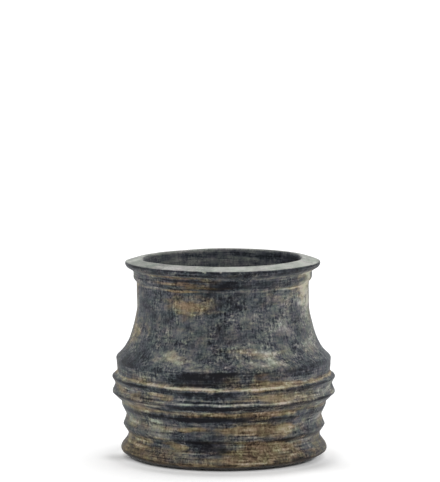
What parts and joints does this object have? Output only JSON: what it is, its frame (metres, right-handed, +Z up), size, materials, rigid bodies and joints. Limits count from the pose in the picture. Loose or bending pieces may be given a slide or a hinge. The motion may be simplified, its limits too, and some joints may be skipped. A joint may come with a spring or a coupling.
{
  "type": "flower pot",
  "caption": "Round hand-turned ceramic flower pot with a flared lip, waisted neck, ridged belly and a plugged drain hole.",
  "frame": {"origin": "on the surface that the pot stands on, under the pot's axis", "axes": "+Z up along the pot's axis of turning; the pot is round, so +X and +Y are free, and the picture looks along +Y"},
  "size_m": [0.2206, 0.2206, 0.1984],
  "materials": {
    "aged_ceramic": "matt dark slate wash rubbed back to beige clay along the ridges",
    "rubber": "matt moulded rubber",
    "felt": "pressed felt"
  },
  "bodies": {
    "pot": {"pot_body": "aged_ceramic", "felt_pad_1": "felt", "felt_pad_2": "felt", "felt_pad_3": "felt", "felt_pad_4": "felt"},
    "plug": {"drain_plug": "rubber"}
  },
  "joints": [
    {"name": "plug_lift", "type": "slide", "parent": "pot", "child": "plug", "axis": [0, 0, 1], "range_m": [0, 0.2]}
  ]
}
